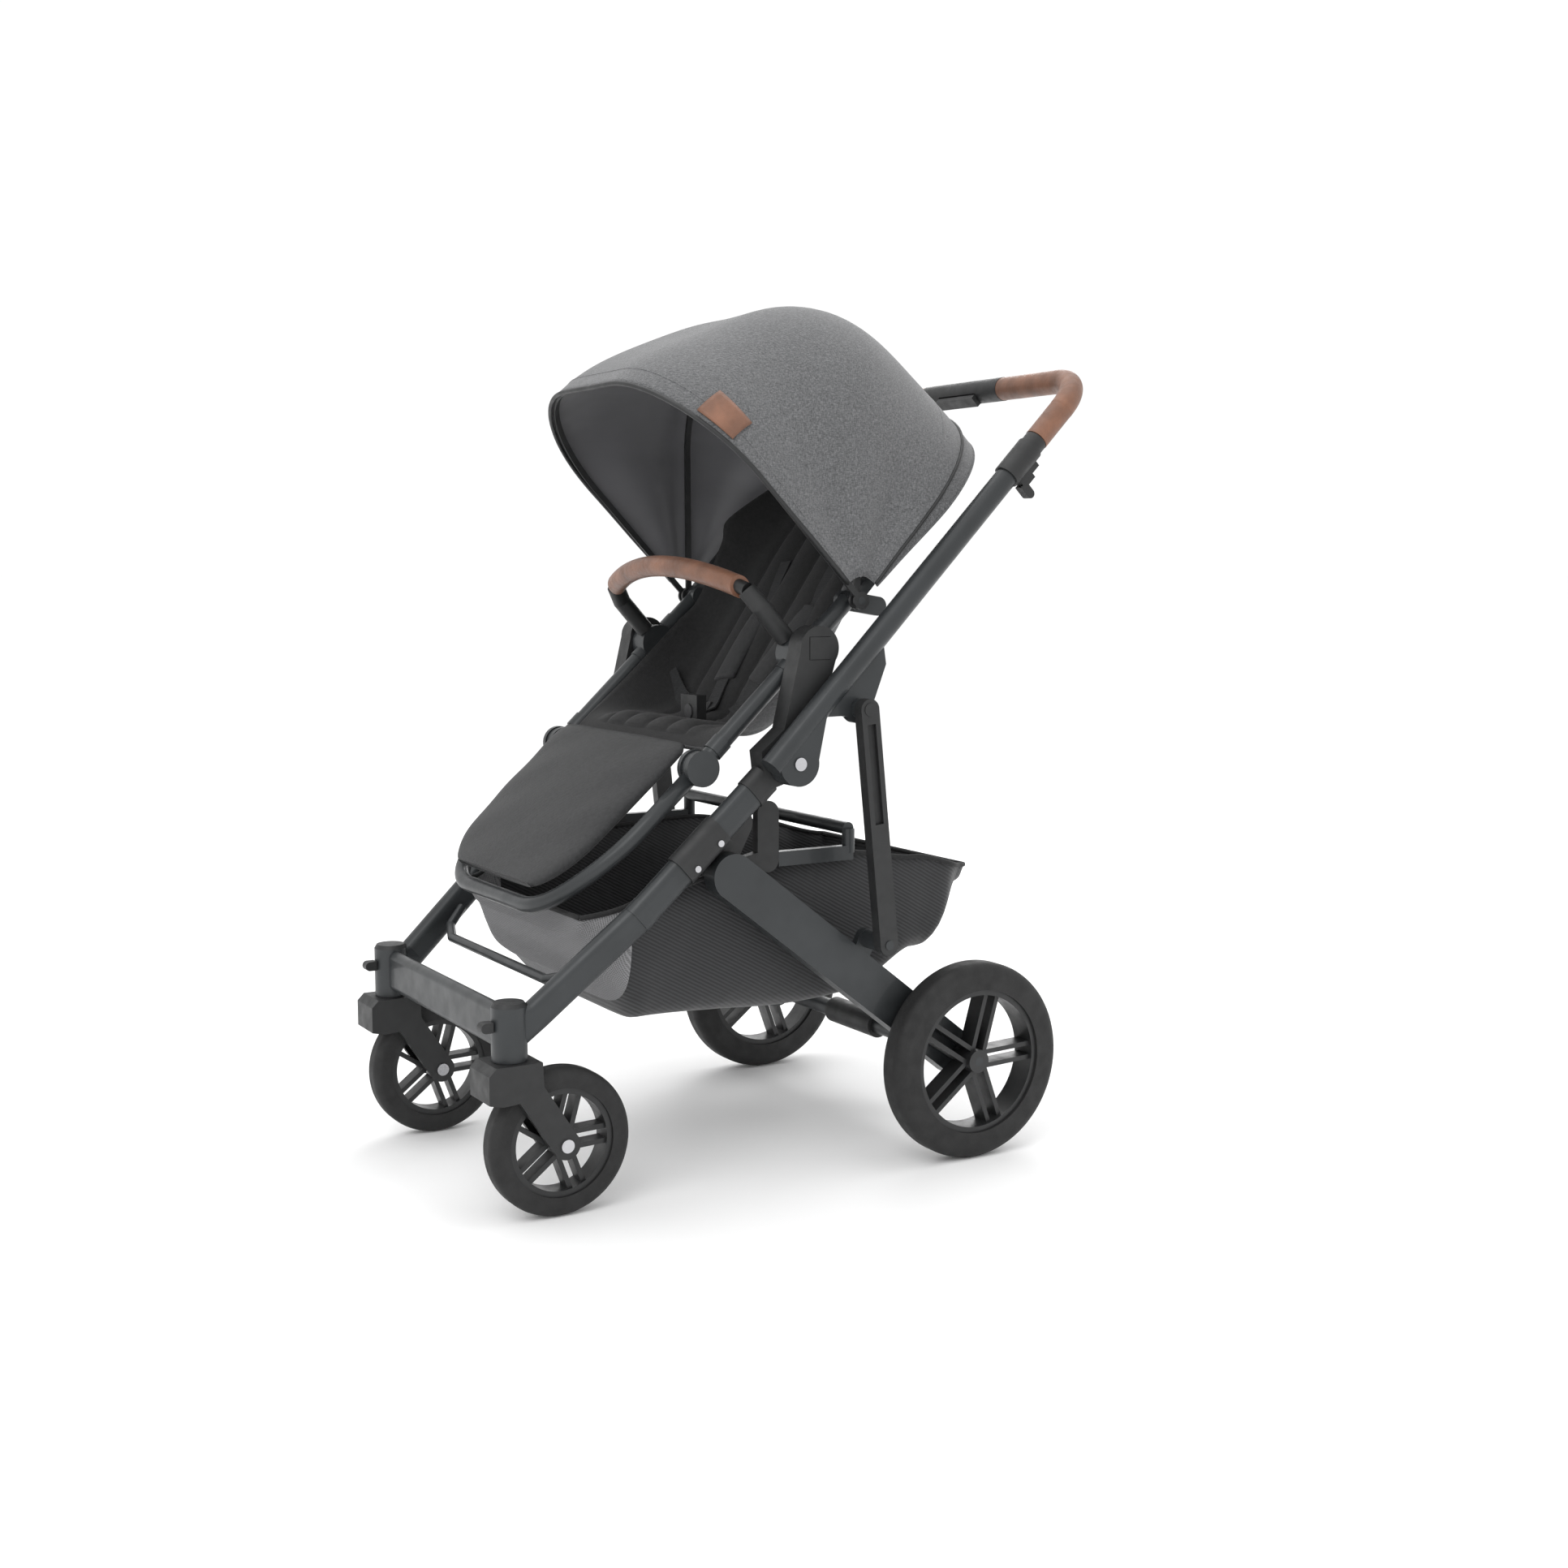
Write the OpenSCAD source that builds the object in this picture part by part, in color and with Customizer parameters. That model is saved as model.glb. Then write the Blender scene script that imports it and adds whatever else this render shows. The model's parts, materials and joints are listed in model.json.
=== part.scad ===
// Full-size folding baby stroller with a reversible seat, as separate named pieces.
// +Z is up, the child faces -Y and the child's left is +X. The wheels stand on Z = 0.
// Lengths called "behind" are measured along Y from the front axle at rest.

/* [Wheels] */
// Diameter of the swivelling front wheels
front_wheel_d = 178; // [160:1:190]
// Width of a front tyre
front_tyre_w = 34; // [28:1:36]
// Diameter of the rear wheels
rear_wheel_d = 254; // [220:1:270]
// Width of a rear tyre
rear_tyre_w = 42; // [34:1:46]
// Distance between the front and rear axles
wheelbase = 550; // [520:1:700]
// Distance from a caster's swivel axis back to its axle
caster_trail = 58; // [50:1:66]
// Sideways place of each caster axis
caster_x = 198; // [185:1:230]

/* [Frame] */
// Front leg's sideways place above its knee
leg_x = 229; // [225:1:245]
// Front leg's oval section, front to back
leg_deep = 38; // [34:1:42]
// Front leg's oval section, across
leg_wide = 24; // [20:1:24]
// Fold pivot behind the front axle
fold_back = 289; // [280:1:300]
// Height of the fold pivot
fold_z = 522; // [505:1:560]
// Rear-leg pivot behind the front axle
hip_back = 216; // [205:1:220]
// Height of the rear-leg pivot
hip_z = 388; // [380:1:400]
// Depth of the flat rear leg
rear_leg_deep = 56; // [46:1:60]
// Thickness of the flat rear leg
rear_leg_wide = 26; // [18:1:27]
// Play between pieces that pass each other
gap = 0.5; // [0.3:0.1:0.8]
// Radial play of each turning or sliding fit
fit = 0.05; // [0.02:0.01:0.08]

/* [Handle] */
// Sideways place of the handle tubes
tube_x = 258.5; // [258:0.5:270]
// Outside diameter of the handle tubes
tube_d = 29; // [26:1:30]
// Slope of the handle tubes above the horizontal
handle_slope = 45.4; // [42:0.1:50]
// Length from the fold joint to the grip bar
handle_len = 646; // [600:1:760]
// Diameter of the inner handle tube
inner_tube_d = 24; // [20:1:25]
// Diameter of the leather grips
grip_d = 31; // [28:1:34]
// Width of the black centre cover on the grip bar
grip_cover_w = 176; // [120:1:220]

/* [Seat] */
// Seat hub behind the front axle
hub_back = 335; // [325:1:345]
// Height of the seat hub
hub_z = 650; // [640:1:700]
// Sideways place of the seat tubes
seat_tube_x = 196; // [190:1:197]
// Diameter of the seat tubes
seat_tube_d = 22; // [18:1:24]
// Slope of the seat tubes
seat_slope = 43.2; // [40:0.1:46]
// Length of the seat tube in front of the hub
seat_tube_fore = 196; // [180:1:210]
// Length of the seat tube behind the hub
seat_tube_aft = 94; // [90:1:100]
// Slope of the backrest
back_slope = 58; // [54:1:64]
// Length of the backrest
back_len = 372; // [340:1:376]

/* [Canopy] */
// Reach of the canopy from its pivot
canopy_r = 367; // [330:1:375]
// Half width of the canopy
canopy_half_w = 230; // [222:1:232]
// Radius of the canopy's upper corners
canopy_corner = 170; // [150:1:180]
// How much less the rear hoop reaches than the front bow
rear_reach_drop = 38; // [20:1:60]
// Direction of the front bow, from the rear horizontal
front_bow_angle = 133.5; // [125:0.5:140]
// Direction of the rear hoop
rear_bow_angle = 47; // [44:0.5:50]

/* [Hidden] */
$fn = 96;
// Straight sides stay just inside the rounds they run into, and balls just outside their tubes
flush = 0.996;
ball = 1.006;
round_out = 1.002;

// Places, with Y measured from the origin at the middle of the length
axle_y = -324.5;
front_r = front_wheel_d / 2;
rear_r = rear_wheel_d / 2;
caster_y = axle_y - caster_trail;
fold_y = axle_y + fold_back;
hip_y = axle_y + hip_back;
hub_y = axle_y + hub_back;
rear_axle_y = axle_y + wheelbase;
hip_to_axle = norm([rear_axle_y - hip_y, rear_r - hip_z]);
rear_leg_slope = atan2(rear_r - hip_z, rear_axle_y - hip_y);

// Caster and fork
stem_r = 8;
fork_in = front_tyre_w / 2 + 3;
fork_out = fork_in + 9;
fork_top = 2 * front_r + 14;
housing_r = 21;
housing_top = fork_top + 64;
cap_seat = housing_top - 0.2;
front_axle_r = 5;
rear_axle_r = 6;
axle_tube_r = 12;

// Front leg: start, knee and top points
leg_start = [caster_x + 6, axle_y - 26, fork_top + 52];
leg_knee = [leg_x, axle_y + 97, 352];
leg_top = [leg_x, axle_y + 262, 500];
leg_slope = atan2(leg_top[2] - leg_knee[2], leg_top[1] - leg_knee[1]);
low_run = norm([leg_knee[1] - leg_start[1], leg_knee[2] - leg_start[2]]);
low_slope = atan2(leg_knee[2] - leg_start[2], leg_knee[1] - leg_start[1]);
low_splay = atan2(leg_knee[0] - leg_start[0], low_run);
low_len = norm(leg_knee - leg_start);
leg_len = norm(leg_top - leg_knee);
sleeve_wall = 1.6;
pin_r = 8;
hip_pin_r = 7;

// Handle: the tube's axis passes this far above the fold pivot
tube_offset = 20.5;
tube_r = tube_d / 2;
inner_r = inner_tube_d / 2;
grip_r = grip_d / 2;
foot_y = fold_y - tube_offset * sin(handle_slope);
foot_z = fold_z + tube_offset * cos(handle_slope);
tube_in = tube_x - tube_r;
tube_out = tube_x + tube_r;
bend_r = 55;
collar_s = handle_len - 132;
lobe_r = 27;

// Fold link between the handle and the rear leg
link_in = tube_out + 1.5;
link_out = 290;
link_top_r = 108;
link_top_angle = 35.6;
link_top_y = fold_y + link_top_r * cos(link_top_angle);
link_top_z = fold_z + link_top_r * sin(link_top_angle);
link_foot_s = 213;
link_foot_angle = 11.7;
link_foot_y = hip_y + link_foot_s * cos(rear_leg_slope + link_foot_angle);
link_foot_z = hip_z + link_foot_s * sin(rear_leg_slope + link_foot_angle);
link_len = norm([link_foot_y - link_top_y, link_foot_z - link_top_z]);
link_slope = atan2(link_foot_z - link_top_z, link_foot_y - link_top_y);
link_pin_r = 6;

// Seat places, found along the seat tube's line through the hub
seat_r = seat_tube_d / 2;
knee_y = hub_y - seat_tube_fore * cos(seat_slope);
knee_z = hub_z - seat_tube_fore * sin(seat_slope);
crown_y = hub_y + seat_tube_aft * cos(seat_slope);
crown_z = hub_z + seat_tube_aft * sin(seat_slope);
hub_r = 25;
hub_pin_r = 9;
post_in = 213;
post_out = tube_in - gap - 1;
drum_r = 22;
knee_pin_r = 7;
eye_r = 16;
seat_in = seat_tube_x - 13;
seat_out = post_in - gap - 0.5;
back_y = hub_y + 37;
back_z = hub_z - 102;
pad_thick = 34;
cushion_w = 2 * (seat_tube_x - seat_r - 1.5 - 0.15);

// Canopy
cloth = 2.5;
bow_thick = 8;
mid_bow_angle = (front_bow_angle + rear_bow_angle) / 2;
nest = 0.3;
front_bow_thick = 3.5;
mid_bow_thick = 4;
front_panel_in = front_bow_thick + nest;
rear_panel_in = front_panel_in + cloth + nest;
mid_bow_in = rear_panel_in + cloth + nest;
hoop_in = mid_bow_in + mid_bow_thick + nest;
canopy_pin_r = 5;
canopy_eye_r = 11;

steel = [0.22, 0.24, 0.25];
moulded = [0.16, 0.17, 0.17];
rubber = [0.12, 0.12, 0.12];
leather = [0.45, 0.30, 0.23];
heather = [0.43, 0.44, 0.45];
lining = [0.14, 0.14, 0.15];
bright = [0.75, 0.75, 0.77];

// The left side is +X; the right side is its mirror image
module side(s) {
    if (s > 0) children();
    else mirror([1, 0, 0]) children();
}

// Moves to a side-view point
module at(y, z) translate([0, y, z]) children();

// Local Z runs along a slope in the side view; local -Y faces up and forward
module along(y, z, slope) translate([0, y, z]) rotate([slope - 90, 0, 0]) children();

// Cylinder along X between two sideways places
module xcyl(x1, x2, y, z, r) translate([x1, y, z]) rotate([0, 90, 0]) cylinder(h = x2 - x1, r = r);

// Flat plate drawn in the side view, with 2-D x as Y and 2-D y as Z
module plate(x1, x2) translate([x1, 0, 0]) rotate([90, 0, 90]) linear_extrude(height = x2 - x1) children();

// Oval section with its long side along local Y
module oval(deep, wide) {
    square([wide * flush, deep - wide], center = true);
    translate([0, (deep - wide) / 2]) circle(d = wide);
    translate([0, -(deep - wide) / 2]) circle(d = wide);
}

// Round-ended bar in a plate, from one point to another
module slot2d(a, b, r) {
    translate(a) circle(r = r);
    translate(b) circle(r = r);
    translate(a) rotate(atan2(b[1] - a[1], b[0] - a[0])) translate([0, -r * flush]) square([norm(b - a), 2 * r * flush]);
}

// Round tube through a list of points
module tube_path(pts, r) {
    for (i = [0 : len(pts) - 2]) {
        d = pts[i + 1] - pts[i];
        translate(pts[i]) rotate([0, acos(d[2] / norm(d)), atan2(d[1], d[0])]) cylinder(h = norm(d), r = r);
    }
    for (i = [1 : len(pts) - 2]) translate(pts[i]) sphere(r = r * ball);
}

/* ---- Wheels ---- */

module tyre(r, w, x) {
    round_r = w * 0.32;
    bed = r * 0.73;
    translate([x, 0, 0]) rotate([0, 90, 0]) rotate_extrude() {
        translate([bed, -w / 2]) square([r - bed - round_r, w]);
        translate([bed, -w / 2 + round_r]) square([r - bed, w - 2 * round_r]);
        translate([r - round_r, w / 2 - round_r]) circle(r = round_r);
        translate([r - round_r, -w / 2 + round_r]) circle(r = round_r);
    }
}

module rim(r, w, x, bore_r) {
    bed = r * 0.73;
    ring = 7;
    hub = bore_r + 9;
    spoke = 6;
    split = 9;
    translate([x, 0, 0]) rotate([0, 90, 0]) difference() {
        union() {
            difference() {
                cylinder(h = w * 0.84, r = bed, center = true);
                cylinder(h = w, r = bed - ring, center = true);
            }
            cylinder(h = w * 0.9, r = hub, center = true);
            linear_extrude(height = w * 0.6, center = true) difference() {
                for (i = [0 : 4]) rotate(i * 72 + 20) for (k = [-1, 1])
                    translate([2, k * split - spoke / 2]) square([bed - ring + 1, spoke]);
                circle(r = hub - 1.5);
            }
        }
        cylinder(h = w + 2, r = bore_r + fit, center = true);
    }
}

module front_tyre(s) color(rubber) side(s) at(axle_y, front_r) tyre(front_r, front_tyre_w, caster_x);
module front_rim(s) color(moulded) side(s) at(axle_y, front_r) rim(front_r, front_tyre_w, caster_x, front_axle_r);

rear_wheel_x = leg_x + rear_leg_wide / 2 + 3 + rear_tyre_w / 2;
module rear_tyre(s) color(rubber) side(s) at(rear_axle_y, rear_r) tyre(rear_r, rear_tyre_w, rear_wheel_x);
module rear_rim(s) color(moulded) side(s) at(rear_axle_y, rear_r) rim(rear_r, rear_tyre_w, rear_wheel_x, rear_axle_r);

/* ---- Casters ---- */

module caster_fork(s) color(moulded) side(s) {
    difference() {
        plate(caster_x - fork_out, caster_x + fork_out) {
            polygon([[caster_y - 37, fork_top - 42], [caster_y - 37, fork_top - 9], [caster_y - 28, fork_top],
                [caster_y + 29, fork_top], [caster_y + 31, fork_top - 42], [caster_y - 20, fork_top - 46]]);
            slot2d([caster_y + 11, fork_top - 30], [axle_y, front_r], 17);
        }
        xcyl(caster_x - fork_in, caster_x + fork_in, axle_y, front_r, front_r + 4);
        xcyl(caster_x - fork_out - 1, caster_x + fork_out + 1, axle_y, front_r, front_axle_r);
    }
    translate([caster_x, caster_y, fork_top - 1]) cylinder(h = 46, r = stem_r);
}

module front_axle(s) color(bright) side(s) {
    xcyl(caster_x - fork_out, caster_x + fork_out, axle_y, front_r, front_axle_r);
    for (x = [caster_x - fork_out - 3, caster_x + fork_out]) xcyl(x, x + 3, axle_y, front_r, front_axle_r + 3);
}

// Lever on the front of the caster housing that stops the swivel
module swivel_lock(s) color(moulded) side(s) {
    translate([caster_x, caster_y - housing_r - gap, housing_top - 22]) {
        translate([-7, -9, -6]) cube([14, 9, 12]);
        translate([0, -9, 0]) rotate([0, 90, 0]) cylinder(h = 14, r = 6, center = true);
    }
}

/* ---- Front frame ---- */

module leg_low() translate(leg_start) rotate([low_slope - 90, 0, 0]) rotate([0, low_splay, 0])
    linear_extrude(height = low_len) oval(leg_deep, leg_wide);

module leg_high(grow, from, to) along(leg_knee[1], leg_knee[2], leg_slope) translate([leg_x, 0, from])
    linear_extrude(height = to - from) oval(leg_deep + 2 * grow, leg_wide + 2 * grow);

module front_leg(s) color(steel) side(s) {
    leg_low();
    leg_high(0.5, -9, 9);
    leg_high(0, 0, leg_len);
}

module front_crossbar() color(steel) {
    difference() {
        union() {
            for (s = [1, -1]) side(s) {
                translate([caster_x, caster_y, fork_top + gap]) cylinder(h = housing_top - fork_top - gap, r = housing_r);
                hull() {
                    translate([caster_x, caster_y + 6, fork_top + 18]) cylinder(h = 36, r = 14, $fn = 32);
                    translate(leg_start) rotate([low_slope - 90, 0, 0]) rotate([0, low_splay, 0])
                        translate([0, 0, -2]) linear_extrude(height = 2) oval(leg_deep, leg_wide, $fn = 32);
                }
            }
            translate([-caster_x + 10, caster_y - 9, fork_top + 18]) cube([2 * caster_x - 20, 18, 34]);
            translate([-caster_x + 10, caster_y, fork_top + 18]) rotate([0, 90, 0]) cylinder(h = 2 * caster_x - 20, r = 9);
            translate([-caster_x + 10, caster_y, fork_top + 52]) rotate([0, 90, 0]) cylinder(h = 2 * caster_x - 20, r = 9);
        }
        for (s = [1, -1]) side(s) translate([caster_x, caster_y, fork_top - 2]) cylinder(h = 50, r = stem_r + fit);
        for (s = [1, -1]) side(s) translate([caster_x, caster_y, cap_seat]) cylinder(h = 20, r = housing_r + 0.5);
    }
}

module caster_caps() color(moulded) for (s = [1, -1]) side(s)
    translate([caster_x, caster_y, cap_seat]) cylinder(h = 5, r1 = housing_r, r2 = housing_r - 3);

// Clamp round the front leg that carries the rear leg's pivot on its inboard plate
module leg_bracket(s) color(moulded) side(s) {
    plate_out = leg_x - rear_leg_wide / 2 - gap;
    difference() {
        union() {
            leg_high(2.4, 70, 140);
            plate(plate_out - 12, plate_out) {
                slot2d([hip_y, hip_z], [hip_y - 20, hip_z + 40], 20);
                slot2d([hip_y, hip_z], [hip_y + 62, hip_z + 12], 13);
                slot2d([hip_y + 62, hip_z + 12], [hip_y + 62, hip_z + 70], 15);
                slot2d([hip_y, hip_z + 22], [hip_y + 20, hip_z + 60], 20);
            }
        }
        leg_high(0, 60, 150);
    }
    xcyl(plate_out - 1, leg_x + rear_leg_wide / 2 - 4, hip_y, hip_z, hip_pin_r);
}

// Sleeve on the leg's top end, with the fold pivot pin and the post that the seat clips to
module adapter_post(s) color(moulded) side(s) {
    post_y = hub_y;
    post_z = hub_z + 8;
    difference() {
        union() {
            leg_high(sleeve_wall, leg_len - 24, leg_len + 4);
            plate(post_in, post_out) {
                translate([post_y, post_z]) circle(r = 27);
                polygon([[post_y - 27, post_z], [post_y + 27, post_z], [fold_y + 38, fold_z + 20],
                    [fold_y + 22, fold_z - 18], [fold_y - 30, fold_z - 34], [fold_y - 36, fold_z + 14],
                    [fold_y - 4, fold_z + 40]]);
                translate([fold_y, fold_z]) circle(r = 24);
            }
        }
        leg_high(0, 0, leg_len);
        translate([post_out - 5, post_y - 15, post_z - 14]) cube([6, 30, 28]);
        xcyl(post_in - 1, post_in + 20, hub_y, hub_z, hub_pin_r + fit);
    }
    xcyl(post_out - 1, tube_out - 1, fold_y, fold_z, pin_r);
}

// Button in the outside of the post that lets the seat go
module seat_release(s) color(moulded) side(s)
    translate([post_out - 3.2, hub_y - 15 + gap, hub_z + 8 - 14 + gap]) cube([4, 30 - 2 * gap, 28 - 2 * gap]);

module basket_front_rail() color(steel) {
    x = leg_x - 29;
    y = axle_y + 20;
    tube_path([[-x, y + 24, 300], [-x + 14, y + 2, 280], [-x + 50, y - 10, 270],
        [x - 50, y - 10, 270], [x - 14, y + 2, 280], [x, y + 24, 300]], 6);
}

// Level rails behind the brackets, joined by the cross tube
module basket_support_rail() color(steel) {
    x = leg_x - rear_leg_wide / 2 - gap - 6;
    y1 = hip_y + 62 + 15;
    y2 = hip_y + 186;
    z = hip_z + 12;
    for (s = [1, -1]) side(s) {
        translate([x - 6, y1, z - 9]) cube([12, y2 - y1, 18]);
        translate([x, y2 - 4, z]) cylinder(h = 30, r = 8);
    }
    xcyl(-x, x, y2 - 4, z + 30, 8);
}

basket_half_w = leg_x - rear_leg_wide / 2 - gap - 12 - 0.3;
basket_wall = 2.5;
module basket_side(inset) {
    i = inset;
    polygon([[axle_y + 44 + i, 345 + i], [axle_y + 62 + i, 262 + i * 0.4], [axle_y + 130 + i * 0.4, 200 + i],
        [axle_y + 350, 196 + i], [axle_y + 556 - i, 250 + i], [axle_y + 604 - i, 366 + i],
        [axle_y + 390, 400 + i], [axle_y + 240, 397 + i]]);
}

module basket() color(lining) difference() {
    plate(-basket_half_w, basket_half_w) basket_side(0);
    plate(-basket_half_w + basket_wall, basket_half_w - basket_wall) basket_side(basket_wall);
    plate(-basket_half_w + basket_wall, basket_half_w - basket_wall) translate([0, basket_wall * 2]) basket_side(basket_wall);
}

// Screws and rivets that show on the front frame
module frame_rivets() color(bright) for (s = [1, -1]) side(s) {
    leg_face = leg_x + leg_wide / 2 + 2.4;
    for (t = [84, 126]) along(leg_knee[1], leg_knee[2], leg_slope) translate([leg_face, 8, t])
        rotate([0, 90, 0]) cylinder(h = 1.6, r = 4);
    xcyl(tube_out - 1, tube_out + 1, fold_y, fold_z, pin_r);
}

/* ---- Handle ---- */

module on_tube(s) along(foot_y, foot_z, handle_slope) translate([tube_x, 0, s]) children();

function on_axis(t, off) = [foot_y + t * cos(handle_slope) + off * sin(handle_slope),
    foot_z + t * sin(handle_slope) - off * cos(handle_slope)];

module handle_tube(s) color(steel) side(s) {
    difference() {
        union() {
            on_tube(-26) cylinder(h = collar_s + 26, r = tube_r);
            plate(tube_in + 1.5, tube_out - 1.5) {
                translate([fold_y, fold_z]) circle(r = lobe_r);
                polygon([on_axis(0, tube_offset + 12), on_axis(22, tube_offset + 16), on_axis(70, 6), on_axis(-10, 0)]);
            }
            plate(tube_x - 6, tube_x + 6) {
                polygon([on_axis(62, 6), on_axis(86, 30), [link_top_y - 10, link_top_z - 12],
                    [link_top_y + 15, link_top_z - 10], on_axis(172, 30), on_axis(190, 6)]);
                translate([link_top_y, link_top_z]) circle(r = 18);
            }
            xcyl(tube_x, link_in - gap, link_top_y, link_top_z, 12);
        }
        on_tube(120) cylinder(h = collar_s, r = inner_r + fit);
        xcyl(tube_in - 2, tube_out + 2, fold_y, fold_z, pin_r + fit);
    }
}

module handle_collar(s) color(moulded) side(s) difference() {
    union() {
        on_tube(collar_s - 48) cylinder(h = 52, r = tube_r + 2.5);
        on_tube(collar_s + 4) cylinder(h = 14, r = tube_r + 0.5);
        on_tube(collar_s - 40) translate([-7, tube_r, 0]) cube([14, 8, 36]);
    }
    on_tube(collar_s - 60) cylinder(h = 60, r = tube_r);
    on_tube(collar_s - 70) cylinder(h = 120, r = inner_r + fit);
}

// Lever behind the collar; both are drawn up towards the grip to unlock the fold
module fold_trigger(s) color(moulded) side(s) on_tube(collar_s - 44) {
    translate([-6, tube_r + 8 + gap, 0]) cube([12, 6, 26]);
    translate([-6, tube_r + 8 + gap, 0]) cube([12, 16, 12]);
    translate([0, tube_r + 24 + gap, 6]) rotate([0, 90, 0]) cylinder(h = 12, r = 6, center = true);
}

bar_y = foot_y + handle_len * cos(handle_slope);
bar_z = foot_z + handle_len * sin(handle_slope);
bend_over = 2;
bend_swell = 1.012;

// One arm of the bar, or of what fits round it, from a place on the tube to the end of the bend
module bar_bend(from, r) {
    on_tube(from) cylinder(h = handle_len - bend_r - from, r = r);
    on_tube(handle_len - bend_r) translate([-bend_r, 0, 0]) rotate([90, 0, 0]) rotate(-bend_over)
        rotate_extrude(angle = 90 + 2 * bend_over) translate([bend_r, 0]) circle(r = r * bend_swell);
}

module bar_arm(from, x, r) {
    bar_bend(from, r);
    xcyl(x, tube_x - bend_r, bar_y, bar_z, r);
}

module handlebar() color(steel) {
    for (s = [1, -1]) side(s) bar_bend(collar_s - 190, inner_r);
    xcyl(bend_r - tube_x, tube_x - bend_r, bar_y, bar_z, inner_r);
}

module grip(s) color(leather) side(s) difference() {
    bar_arm(collar_s + 19, grip_cover_w / 2, grip_r);
    bar_arm(collar_s, 0, inner_r);
}

button_half_w = 42;
module grip_centre_cover() color(moulded) difference() {
    xcyl(-grip_cover_w / 2, grip_cover_w / 2, bar_y, bar_z, grip_r + 0.5);
    xcyl(-grip_cover_w, grip_cover_w, bar_y, bar_z, inner_r);
    along(bar_y, bar_z, handle_slope) translate([-button_half_w - gap, -9, -grip_r - 2])
        cube([2 * button_half_w + 2 * gap, 18, grip_r - inner_r + 2]);
}

// Squeeze bar under the grip that frees the telescoping handle
module telescope_button() color(moulded) along(bar_y, bar_z, handle_slope)
    translate([-button_half_w, -8, -grip_r - 6]) cube([2 * button_half_w, 16, grip_r - inner_r + 3]);

/* ---- Rear frame ---- */

module rear_leg(s) color(steel) side(s) difference() {
    w = rear_leg_wide / 2;
    union() {
        plate(leg_x - w, leg_x + w) slot2d([hip_y, hip_z], [rear_axle_y, rear_r], rear_leg_deep / 2);
        plate(leg_x + 2, leg_x + w - 1) slot2d([link_foot_y, link_foot_z], [link_foot_y - 14, link_foot_z - 28], 13);
        xcyl(leg_x, link_in - gap, link_foot_y, link_foot_z, 11);
        xcyl(link_in - 1, link_out + 1, link_foot_y, link_foot_z, link_pin_r);
    }
    xcyl(leg_x - w - 1, leg_x + w - 3, hip_y, hip_z, hip_pin_r + fit);
    xcyl(leg_x - w - 1, leg_x + w + 1, rear_axle_y, rear_r, axle_tube_r);
}

module rear_axle() color(steel) {
    x = leg_x + rear_leg_wide / 2;
    xcyl(-x, x, rear_axle_y, rear_r, axle_tube_r);
    for (s = [1, -1]) side(s) {
        xcyl(x - 1, rear_wheel_x + rear_tyre_w / 2 - 2, rear_axle_y, rear_r, rear_axle_r);
    }
}

// Foot pedal turning on the rear axle
module brake_pedal() color(moulded) difference() {
    plate(-55, 55) {
        translate([rear_axle_y, rear_r]) circle(r = axle_tube_r + 6);
        slot2d([rear_axle_y + 8, rear_r + 6], [rear_axle_y + 52, rear_r - 14], 6);
    }
    xcyl(-60, 60, rear_axle_y, rear_r, axle_tube_r + 0.1);
}

// Each link turns on the rear leg's pin; its top end stands beside the handle's boss
module fold_links() color(moulded) for (s = [1, -1]) side(s) difference() {
    union() {
        plate(link_in, link_out) slot2d([link_top_y, link_top_z], [link_foot_y, link_foot_z], 13);
        xcyl(link_out - 0.5, link_out + 1, link_top_y, link_top_z, 8);
    }
    xcyl(link_in - 1, link_out + 2, link_foot_y, link_foot_z, link_pin_r + fit);
    along(link_top_y, link_top_z, link_slope) translate([link_out - 5, -6, 18]) cube([6, 12, link_len * 0.42]);
}

/* ---- Seat ---- */

module on_seat(t) along(hub_y, hub_z, seat_slope) translate([seat_tube_x, 0, t]) children();

// 2-D arch, with 2-D x across and 2-D y as the reach from the pivot
module arch(half_w, reach, corner) {
    translate([-half_w, 0]) square([2 * half_w, reach - corner]);
    translate([-half_w + corner, 0]) square([2 * (half_w - corner), reach]);
    for (k = [-1, 1]) translate([k * (half_w - corner), reach - corner]) circle(r = corner * round_out);
}

module arch_band(half_w, reach, corner, thick) difference() {
    arch(half_w, reach, corner);
    translate([0, -1]) arch(half_w - thick, reach - thick + 1, corner - thick);
    translate([-half_w - 1, -1]) square([2 * half_w + 2, 1.01]);
}

module bow(angle, half_w, reach, corner, thick, wide) at(crown_y, crown_z) rotate([angle, 0, 0])
    translate([0, 0, -wide / 2]) linear_extrude(height = wide) arch_band(half_w, reach, corner, thick);

module seat_frame() color(steel) {
    for (s = [1, -1]) side(s) {
        on_seat(-seat_tube_fore + eye_r + 1.5) cylinder(h = seat_tube_fore + seat_tube_aft - eye_r - 1.5, r = seat_r);
        for (t = [-seat_tube_fore + 26, -34, 26]) on_seat(t) cylinder(h = 20, r = seat_r + 1.5);
        xcyl(seat_in - 4, seat_out, hub_y, hub_z, hub_r);
        xcyl(seat_out - 1, post_in + 18, hub_y, hub_z, hub_pin_r);
        xcyl(seat_tube_x - 13, seat_tube_x - 5.5, knee_y, knee_z, drum_r);
        xcyl(seat_tube_x + 5.5, seat_tube_x + 13, knee_y, knee_z, drum_r);
        xcyl(seat_tube_x - 13, seat_tube_x + 13, knee_y, knee_z, knee_pin_r);
        xcyl(seat_tube_x, canopy_half_w, crown_y, crown_z, canopy_pin_r);
        plate(seat_tube_x - seat_r - 1.5, seat_tube_x - 4) slot2d([crown_y, crown_z], [crown_y + 50, crown_z - 8], 12);
    }
    bow(rear_bow_angle, canopy_half_w - hoop_in, canopy_r - hoop_in - rear_reach_drop, canopy_corner - hoop_in, 14, 14);
}

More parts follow.
